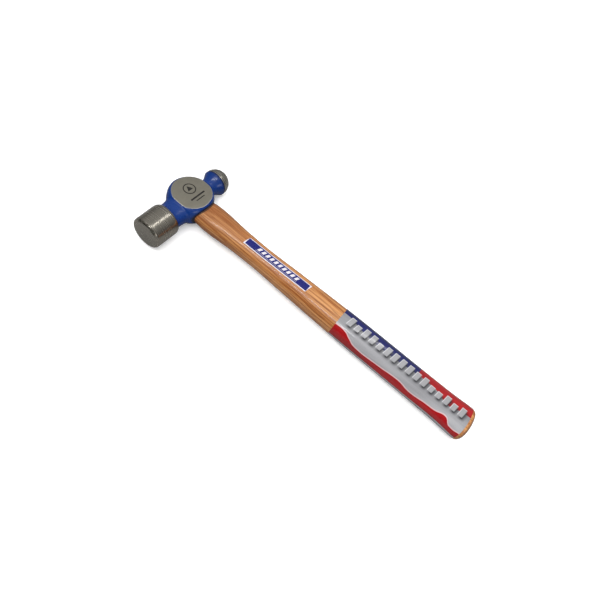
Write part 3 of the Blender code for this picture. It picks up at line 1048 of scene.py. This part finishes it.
def label_material():
    """A navy band in a white border, with a row of plain slanted bars over a thin line."""
    look = Look("label_print")
    start, end = LABEL_START_X / MM, LABEL_END_X / MM
    across = look.minus(look.y, LABEL_CENTRE_Y / MM)
    from_middle = look.absolute(look.minus(look.x, (start + end) / 2))
    from_end = look.minus((end - start) / 2, from_middle)
    from_side = look.minus(LABEL_HALF_WIDTH / MM, look.absolute(across))
    inset = look.math("MINIMUM", from_end, from_side)
    field = look.smooth(inset, LABEL_BORDER, LABEL_BORDER + PRINT_EDGE)
    fleck = look.noise((0.9, 0.9, 0.9), detail=4.0)
    navy = look.mix(fleck, (0.008, 0.010, 0.10), (0.014, 0.018, 0.15))
    white = look.mix(fleck, (0.50, 0.47, 0.52), (0.66, 0.63, 0.67))
    slant = look.scaled(across, LABEL_BAR_SLANT, look.x)
    pitches = look.ratio(look.minus(slant, LABEL_BARS_START), LABEL_BAR_PITCH)
    phase = look.times(look.math("FRACT", pitches), LABEL_BAR_PITCH)
    bar = look.band(phase, 0.5, 0.5 + LABEL_BAR_WIDTH, 0.12)
    rows = look.band(across, -1.6, 2.6, PRINT_EDGE)
    bars_end = LABEL_BARS_START + LABEL_BAR_COUNT * LABEL_BAR_PITCH
    reach = look.band(slant, LABEL_BARS_START, bars_end, PRINT_EDGE)
    bars = look.times(look.times(bar, rows), reach)
    line = look.band(across, -3.1, -2.6, PRINT_EDGE)
    line = look.times(look.times(line, reach), 0.45)
    colour = look.mix(look.math("MAXIMUM", bars, line), navy, white)
    colour = look.mix(field, white, colour)
    return look.finish(
        base_color=colour,
        roughness=look.scaled(fleck, 0.12, 0.22),
        normal=look.bump(fleck, 0.01),
        specular_ior_level=0.2,
        coat_weight=0.08,
        coat_roughness=0.1,
    )


def sleeve_material():
    """Printed film: red, silver and navy bands along the grip, with a row of plain silver bars on them."""
    look = Look("printed_film")
    around = look.ratio(look.math("ARCTAN2", look.y, look.z), math.pi)
    start, end = SLEEVE_START_X / MM, SLEEVE_END_X / MM
    along = look.ratio(look.minus(look.x, start), end - start)

    def past(points):
        """How far round the grip a place is past a border, in shares of half a turn."""
        line = [((x - start) / (end - start), 0.5 + turn) for x, turn in points]
        return look.minus(around, look.minus(look.curve(along, line), 0.5))

    lower = past(RED_BOTTOM)
    upper = past(RED_TOP)
    crest = past(SILVER_TOP)
    back = past(NAVY_BACK)
    under = look.minus(look.absolute(around), UNDERSIDE_RED)
    split = look.scaled(around, -6.0, look.minus(look.x, NAVY_END_X))
    satin = look.noise((0.018, 0.16, 0.16), detail=3.0, roughness=0.45)
    fleck = look.noise((1.3, 1.3, 1.3), detail=3.0)
    silver = look.mix(satin, (0.17, 0.17, 0.18), (0.46, 0.46, 0.48))
    shaded = look.smooth(around, -0.34, -0.06)
    shaded = look.times(shaded, look.fade(look.absolute(around), 0.5, 0.6))
    silver = look.mix(look.times(shaded, 0.55), silver, (0.13, 0.13, 0.14))
    red = look.mix(satin, (0.15, 0.003, 0.005), (0.44, 0.009, 0.012))
    navy = look.mix(satin, (0.005, 0.007, 0.045), (0.013, 0.017, 0.13))
    colour = look.mix(look.smooth(lower, 0.0, BORDER_EDGE), silver, red)
    colour = look.mix(look.smooth(upper, 0.0, BORDER_EDGE), colour, silver)
    top_colour = look.mix(look.smooth(split, 0.0, 1.0), navy, red)
    colour = look.mix(look.smooth(crest, 0.0, BORDER_EDGE), colour, top_colour)
    colour = look.mix(look.smooth(back, 0.0, BORDER_EDGE), colour, silver)
    colour = look.mix(look.smooth(under, 0.0, BORDER_EDGE), colour, red)
    edge = look.smooth(look.absolute(upper), BORDER_EDGE, 0.016, 0.8, 0.0)
    colour = look.mix(edge, colour, (0.66, 0.50, 0.51))
    colour = raised_bars(look, around, colour)
    colour = look.mix(0.12, colour, look.mix(fleck, (0.0, 0.0, 0.0), (1.0, 1.0, 1.0)), "OVERLAY")
    return look.finish(
        base_color=colour,
        roughness=look.scaled(fleck, 0.1, 0.16),
        normal=look.bump(look.noise((0.25, 0.9, 0.9), detail=3.0), 0.02),
        specular_ior_level=0.35,
        coat_weight=0.25,
        coat_roughness=0.06,
    )


def raised_bars(look, around, under):
    """A row of slanted silver bars with soft shadows, printed over the colour under them."""

    def bars(shift_along, shift_round, soft):
        """Where the row's bars are: 1 inside them and 0 outside."""
        x = look.minus(look.x, BARS_START + shift_along)
        turn = look.minus(around, shift_round)
        slanted = look.scaled(turn, BAR_SLANT, x)
        cell = look.ratio(slanted, BAR_PITCH)
        number = look.math("FLOOR", cell)
        from_middle = look.absolute(look.minus(look.math("FRACT", cell), 0.5))
        inside = look.fade(from_middle, BAR_SHARE / 2 - soft, BAR_SHARE / 2 + soft)
        dice = look.node("ShaderNodeTexWhiteNoise", {"noise_dimensions": "1D"}, {"W": number})
        taller = look.smooth(dice.outputs["Value"], 0.45, 0.55)
        top = look.scaled(taller, BAR_TALLER, BAR_TOP)
        blur = soft * 0.12
        inside = look.times(inside, look.fade(look.minus(turn, top), -blur, blur))
        inside = look.times(inside, look.smooth(turn, BAR_BOTTOM - blur, BAR_BOTTOM + blur))
        row = look.times(look.smooth(slanted, -0.1, 0.1), look.fade(slanted, BARS_LENGTH, BARS_LENGTH + 0.1))
        return look.times(inside, row)

    shadow = bars(1.9, -0.045, 0.30)
    colour = look.mix(look.times(shadow, 0.95), under, (0.008, 0.008, 0.011))
    face = bars(0.0, 0.0, 0.05)
    rim = look.minus(face, bars(0.45, -0.012, 0.05))
    colour = look.mix(face, colour, (0.27, 0.27, 0.28))
    return look.mix(look.smooth(rim, 0.2, 0.9), colour, (0.55, 0.55, 0.57))


# ---------------------------------------------------------------- stage


def add_floor():
    """A pale floor under the lying hammer."""
    bm = bmesh.new()
    bmesh.ops.create_grid(bm, x_segments=2, y_segments=2, size=FLOOR_REACH)
    for vert in bm.verts:
        spot = vert.co - EYE
        vert.co.z = FLOOR_Z + FLOOR_RISE_X * spot.x + FLOOR_RISE_Y * spot.y
    floor = add_mesh("floor", bm)
    floor.data.materials.append(floor_material())


def floor_material():
    """Near white, as a studio table whose sides are flagged off.

    Reflections see it mid grey and it bounces half of its light, which keeps the steel's contrast. A glow for
    the camera alone rises with the distance, until the floor is as white as the background.
    """
    material = bpy.data.materials.new("pale_floor")
    material.use_nodes = True
    nodes, links = material.node_tree.nodes, material.node_tree.links
    shader = nodes["Principled BSDF"]
    shader.inputs["Roughness"].default_value = 0.9
    shader.inputs["Specular IOR Level"].default_value = 0.1
    shader.inputs["Emission Color"].default_value = (1.0, 1.0, 1.0, 1.0)
    ray = nodes.new("ShaderNodeLightPath")
    place = nodes.new("ShaderNodeTexCoord")
    reach = nodes.new("ShaderNodeVectorMath")
    reach.operation = "LENGTH"
    links.new(place.outputs["Object"], reach.inputs[0])
    level = smooth_step(nodes, FLOOR_WHITE_FROM, FLOOR_WHITE_AT, FLOOR_LIFT, 1.0)
    links.new(reach.outputs["Value"], level.inputs["Value"])
    lift = nodes.new("ShaderNodeMath")
    lift.operation = "MULTIPLY"
    links.new(ray.outputs["Is Camera Ray"], lift.inputs[0])
    links.new(level.outputs[0], lift.inputs[1])
    links.new(lift.outputs[0], shader.inputs["Emission Strength"])
    tones = []
    for kind, tone in (("Is Glossy Ray", FLOOR_TONE_MIRRORED), ("Is Diffuse Ray", FLOOR_TONE_BOUNCED)):
        mix = nodes.new("ShaderNodeMix")
        mix.data_type = "RGBA"
        mix.inputs[6].default_value = (FLOOR_TONE, FLOOR_TONE, FLOOR_TONE, 1.0)
        mix.inputs[7].default_value = (tone, tone, tone, 1.0)
        links.new(ray.outputs[kind], mix.inputs[0])
        tones.append(mix)
    links.new(tones[0].outputs[2], tones[1].inputs[6])
    links.new(tones[1].outputs[2], shader.inputs["Base Color"])
    return material


def smooth_step(nodes, low, high, start, end):
    """A node that goes from start at low to end at high, smoothly."""
    level = nodes.new("ShaderNodeMapRange")
    level.interpolation_type = "SMOOTHSTEP"
    for name, value in (("From Min", low), ("From Max", high), ("To Min", start), ("To Max", end)):
        level.inputs[name].default_value = value
    return level


def add_softbox(name, direction, distance, size, watts, turn=0.0, mirrored=True):
    """An area light that far from the hammer's middle in that direction, facing it, its length along Y.

    One that isn't mirrored stays out of sharp reflections, as a light behind a wide diffuser does.
    """
    light = bpy.data.lights.new(name, "AREA")
    light.shape = "RECTANGLE"
    light.size, light.size_y = size
    light.energy = watts
    obj = add_object(name, light)
    away = Vector(direction).normalized()
    obj.location = away * distance
    obj.rotation_euler = (away.to_track_quat("Z", "Y") @ Quaternion((0, 0, 1), turn)).to_euler()
    obj.visible_glossy = mirrored


def add_world():
    """Soft grey surroundings, brighter overhead and behind than in front, and white for the camera."""
    world = bpy.data.worlds.new("studio")
    bpy.context.scene.world = world
    world.use_nodes = True
    nodes, links = world.node_tree.nodes, world.node_tree.links
    background = nodes["Background"]
    background.inputs["Color"].default_value = (1.0, 1.0, 1.0, 1.0)
    place = nodes.new("ShaderNodeTexCoord")
    towards = nodes.new("ShaderNodeVectorMath")
    towards.operation = "DOT_PRODUCT"
    towards.inputs[1].default_value = WORLD_BRIGHT_SIDE
    links.new(place.outputs["Generated"], towards.inputs[0])
    level = smooth_step(nodes, -0.1, 1.0, WORLD_DIM, WORLD_BRIGHT)
    links.new(towards.outputs["Value"], level.inputs["Value"])
    ray = nodes.new("ShaderNodeLightPath")
    strength = nodes.new("ShaderNodeMix")
    strength.inputs["B"].default_value = 1.0
    links.new(ray.outputs["Is Camera Ray"], strength.inputs["Factor"])
    links.new(level.outputs[0], strength.inputs["A"])
    links.new(strength.outputs[0], background.inputs["Strength"])


def add_camera():
    """Looks down from the face side, rolled so that the handle runs to the lower right."""
    lens = bpy.data.cameras.new("camera")
    lens.lens = CAMERA_LENS
    lens.sensor_width = CAMERA_SENSOR
    camera = add_object("camera", lens)
    level = math.cos(CAMERA_RISE)
    back = Vector((math.sin(CAMERA_TURN) * level, -math.cos(CAMERA_TURN) * level, math.sin(CAMERA_RISE)))
    camera.location = EYE + CAMERA_AIM + back * CAMERA_DISTANCE
    facing = (-back).to_track_quat("-Z", "Y")
    camera.rotation_euler = (facing @ Quaternion((0, 0, 1), CAMERA_ROLL)).to_euler()
    bpy.context.scene.camera = camera


def light_stage():
    """The floor, the surroundings, a broad soft light and three narrow ones that draw the highlights."""
    add_floor()
    add_world()
    add_softbox("overhead", (-0.04, -0.10, 1.0), 1.0, (1.6, 1.6), 16.0, mirrored=False)
    add_softbox("front_strip", (-0.22, -0.39, 0.92), 1.26, (0.06, 0.80), 4.4, math.radians(90))
    add_softbox("back_strip", (0.11, 0.41, 0.90), 1.26, (0.05, 0.90), 1.5)
    add_softbox("side_panel", (0.85, -0.42, 0.42), 0.8, (0.25, 0.25), 0.8)
    bpy.context.scene.view_settings.view_transform = "Standard"


make_head()
make_handle()
make_films()
dress_wedges()
light_stage()
add_camera()
